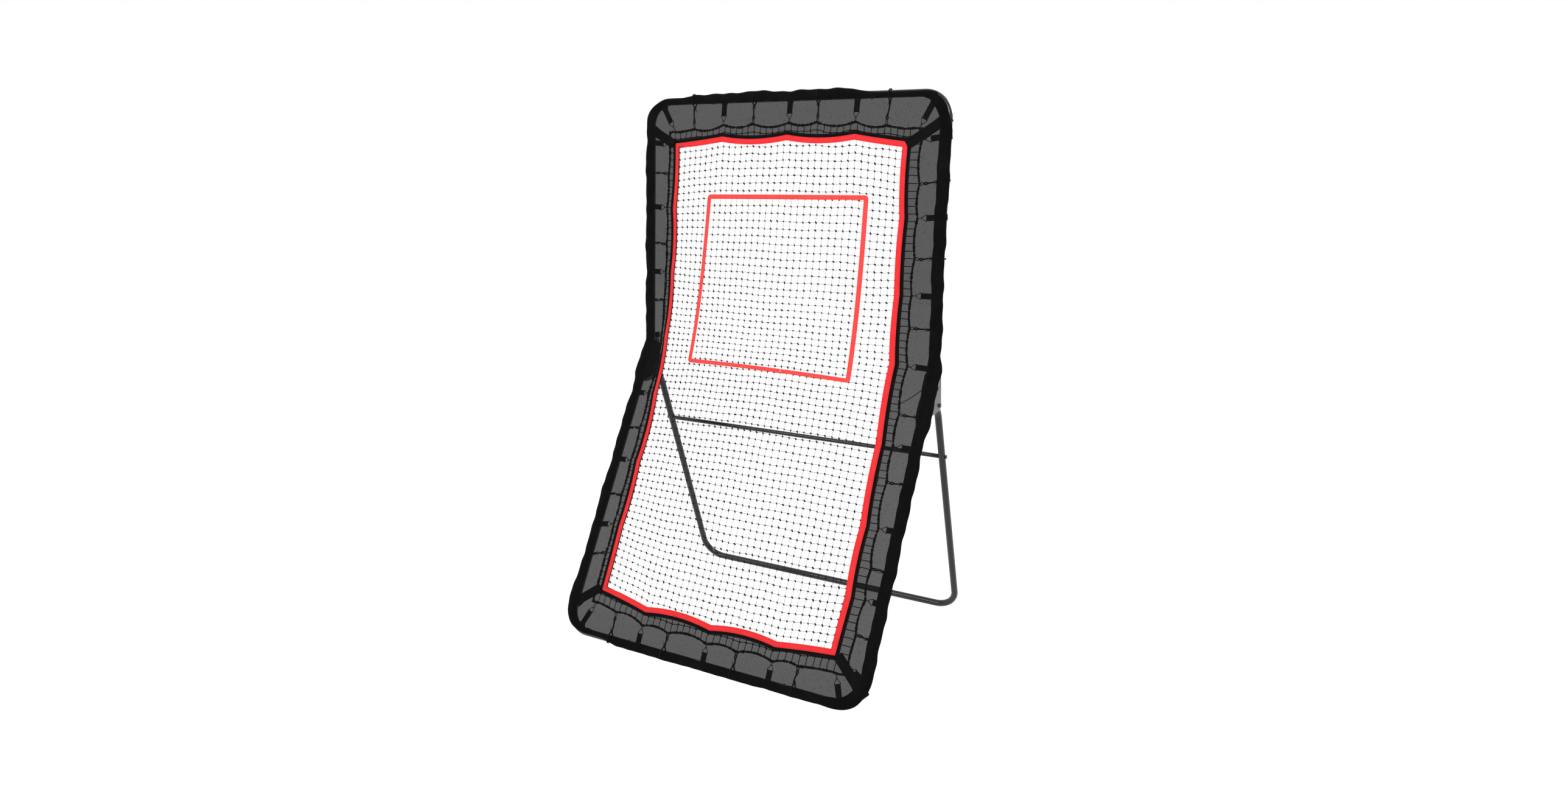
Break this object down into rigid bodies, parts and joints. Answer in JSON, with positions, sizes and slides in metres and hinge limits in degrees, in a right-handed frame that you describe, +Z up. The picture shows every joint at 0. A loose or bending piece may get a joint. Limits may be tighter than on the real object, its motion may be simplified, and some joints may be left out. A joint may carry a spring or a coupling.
{
  "type": "rebound net",
  "caption": "Free-standing rebound net with a lower panel that leans back, a tilting upper panel and a rear stand that folds.",
  "frame": {"origin": "floor level under the centre of the part's box", "axes": "+Z up, +Y from the net's front towards the rear stand, +X along the hinge line"},
  "size_m": [1.2226, 0.9914, 1.9645],
  "materials": {
    "black_paint": "gloss",
    "zinc_plate": "satin",
    "black_webbing": "matte",
    "lacing_webbing": "matte",
    "band_fabric": "matte",
    "red_webbing": "matte",
    "mesh_fabric": "open mesh",
    "net_cord": "matte"
  },
  "bodies": {
    "lower_frame": {"lower_foot_tube": "black_paint", "lower_side_tube_left": "black_paint", "lower_side_tube_right": "black_paint", "hinge_plate_left_outer": "zinc_plate", "hinge_plate_left_inner": "zinc_plate", "hinge_plate_right_outer": "zinc_plate", "hinge_plate_right_inner": "zinc_plate", "lower_bolt_top_left": "zinc_plate", "lower_bolt_top_right": "zinc_plate", "lower_bolt_bottom_left": "zinc_plate", "lower_bolt_bottom_right": "zinc_plate", "stand_pivot_bolt_left": "zinc_plate", "stand_pivot_bolt_right": "zinc_plate", "netting_lower": "net_cord", "net_lacing_lower": "lacing_webbing", "binding_black_lower": "black_webbing", "border_red_lower": "red_webbing", "mesh_skirt_lower": "mesh_fabric", "frame_band_lower": "band_fabric", "strike_zone_lower": "red_webbing", "corner_strap_lower_left": "black_webbing", "corner_strap_lower_right": "black_webbing"},
    "upper_frame": {"upper_head_tube": "black_paint", "upper_side_tube_left": "black_paint", "upper_side_tube_right": "black_paint", "upper_pivot_bolt_left": "zinc_plate", "upper_pivot_bolt_right": "zinc_plate", "upper_lock_bolt_left": "zinc_plate", "upper_lock_bolt_right": "zinc_plate", "netting_upper": "net_cord", "net_lacing_upper": "lacing_webbing", "binding_black_upper": "black_webbing", "border_red_upper": "red_webbing", "mesh_skirt_upper": "mesh_fabric", "frame_band_upper": "band_fabric", "strike_zone_upper": "red_webbing", "corner_strap_upper_left": "black_webbing", "corner_strap_upper_right": "black_webbing"},
    "rear_stand": {"stand_foot_tube": "black_paint", "stand_crossbar": "black_paint", "stand_corner_tube_left": "black_paint", "stand_corner_tube_right": "black_paint", "stand_leg_tube_left": "black_paint", "stand_leg_tube_right": "black_paint", "crossbar_bolt_left": "zinc_plate", "crossbar_bolt_right": "zinc_plate"},
    "lower_snap_button_left": {"lower_snap_button_left": "zinc_plate"},
    "lower_snap_button_right": {"lower_snap_button_right": "zinc_plate"},
    "upper_snap_button_left": {"upper_snap_button_left": "zinc_plate"},
    "upper_snap_button_right": {"upper_snap_button_right": "zinc_plate"},
    "stand_snap_button_foot_left": {"stand_snap_button_foot_left": "zinc_plate"},
    "stand_snap_button_foot_right": {"stand_snap_button_foot_right": "zinc_plate"},
    "stand_snap_button_leg_left": {"stand_snap_button_leg_left": "zinc_plate"},
    "stand_snap_button_leg_right": {"stand_snap_button_leg_right": "zinc_plate"}
  },
  "joints": [
    {"name": "upper_tilt", "type": "hinge", "parent": "lower_frame", "child": "upper_frame", "pos_m": [0, 0.04575, 1.02801], "axis": [-1, 0, 0], "range_deg": [-15, 27]},
    {"name": "stand_fold", "type": "hinge", "parent": "lower_frame", "child": "rear_stand", "pos_m": [0, 0.0771, 0.90392], "axis": [-1, 0, 0], "range_deg": [0, 50]},
    {"name": "lower_snap_button_left_press", "type": "slide", "parent": "lower_frame", "child": "lower_snap_button_left", "axis": [0, -0.454, -0.891], "range_m": [0, 0.003], "stiffness_N_per_m": 1500, "springref_m": -0.002},
    {"name": "lower_snap_button_right_press", "type": "slide", "parent": "lower_frame", "child": "lower_snap_button_right", "axis": [0, -0.454, -0.891], "range_m": [0, 0.003], "stiffness_N_per_m": 1500, "springref_m": -0.002},
    {"name": "upper_snap_button_left_press", "type": "slide", "parent": "upper_frame", "child": "upper_snap_button_left", "axis": [0, 0, 1], "range_m": [0, 0.003], "stiffness_N_per_m": 1500, "springref_m": -0.002},
    {"name": "upper_snap_button_right_press", "type": "slide", "parent": "upper_frame", "child": "upper_snap_button_right", "axis": [0, 0, 1], "range_m": [0, 0.003], "stiffness_N_per_m": 1500, "springref_m": -0.002},
    {"name": "stand_snap_button_foot_left_press", "type": "slide", "parent": "rear_stand", "child": "stand_snap_button_foot_left", "axis": [0, 0.3971, -0.9178], "range_m": [0, 0.003], "stiffness_N_per_m": 1500, "springref_m": -0.002},
    {"name": "stand_snap_button_foot_right_press", "type": "slide", "parent": "rear_stand", "child": "stand_snap_button_foot_right", "axis": [0, 0.3971, -0.9178], "range_m": [0, 0.003], "stiffness_N_per_m": 1500, "springref_m": -0.002},
    {"name": "stand_snap_button_leg_left_press", "type": "slide", "parent": "rear_stand", "child": "stand_snap_button_leg_left", "axis": [0.7071, 0.649, 0.2808], "range_m": [0, 0.003], "stiffness_N_per_m": 1500, "springref_m": -0.002},
    {"name": "stand_snap_button_leg_right_press", "type": "slide", "parent": "rear_stand", "child": "stand_snap_button_leg_right", "axis": [0, -0.9178, -0.3971], "range_m": [0, 0.003], "stiffness_N_per_m": 1500, "springref_m": -0.002}
  ]
}
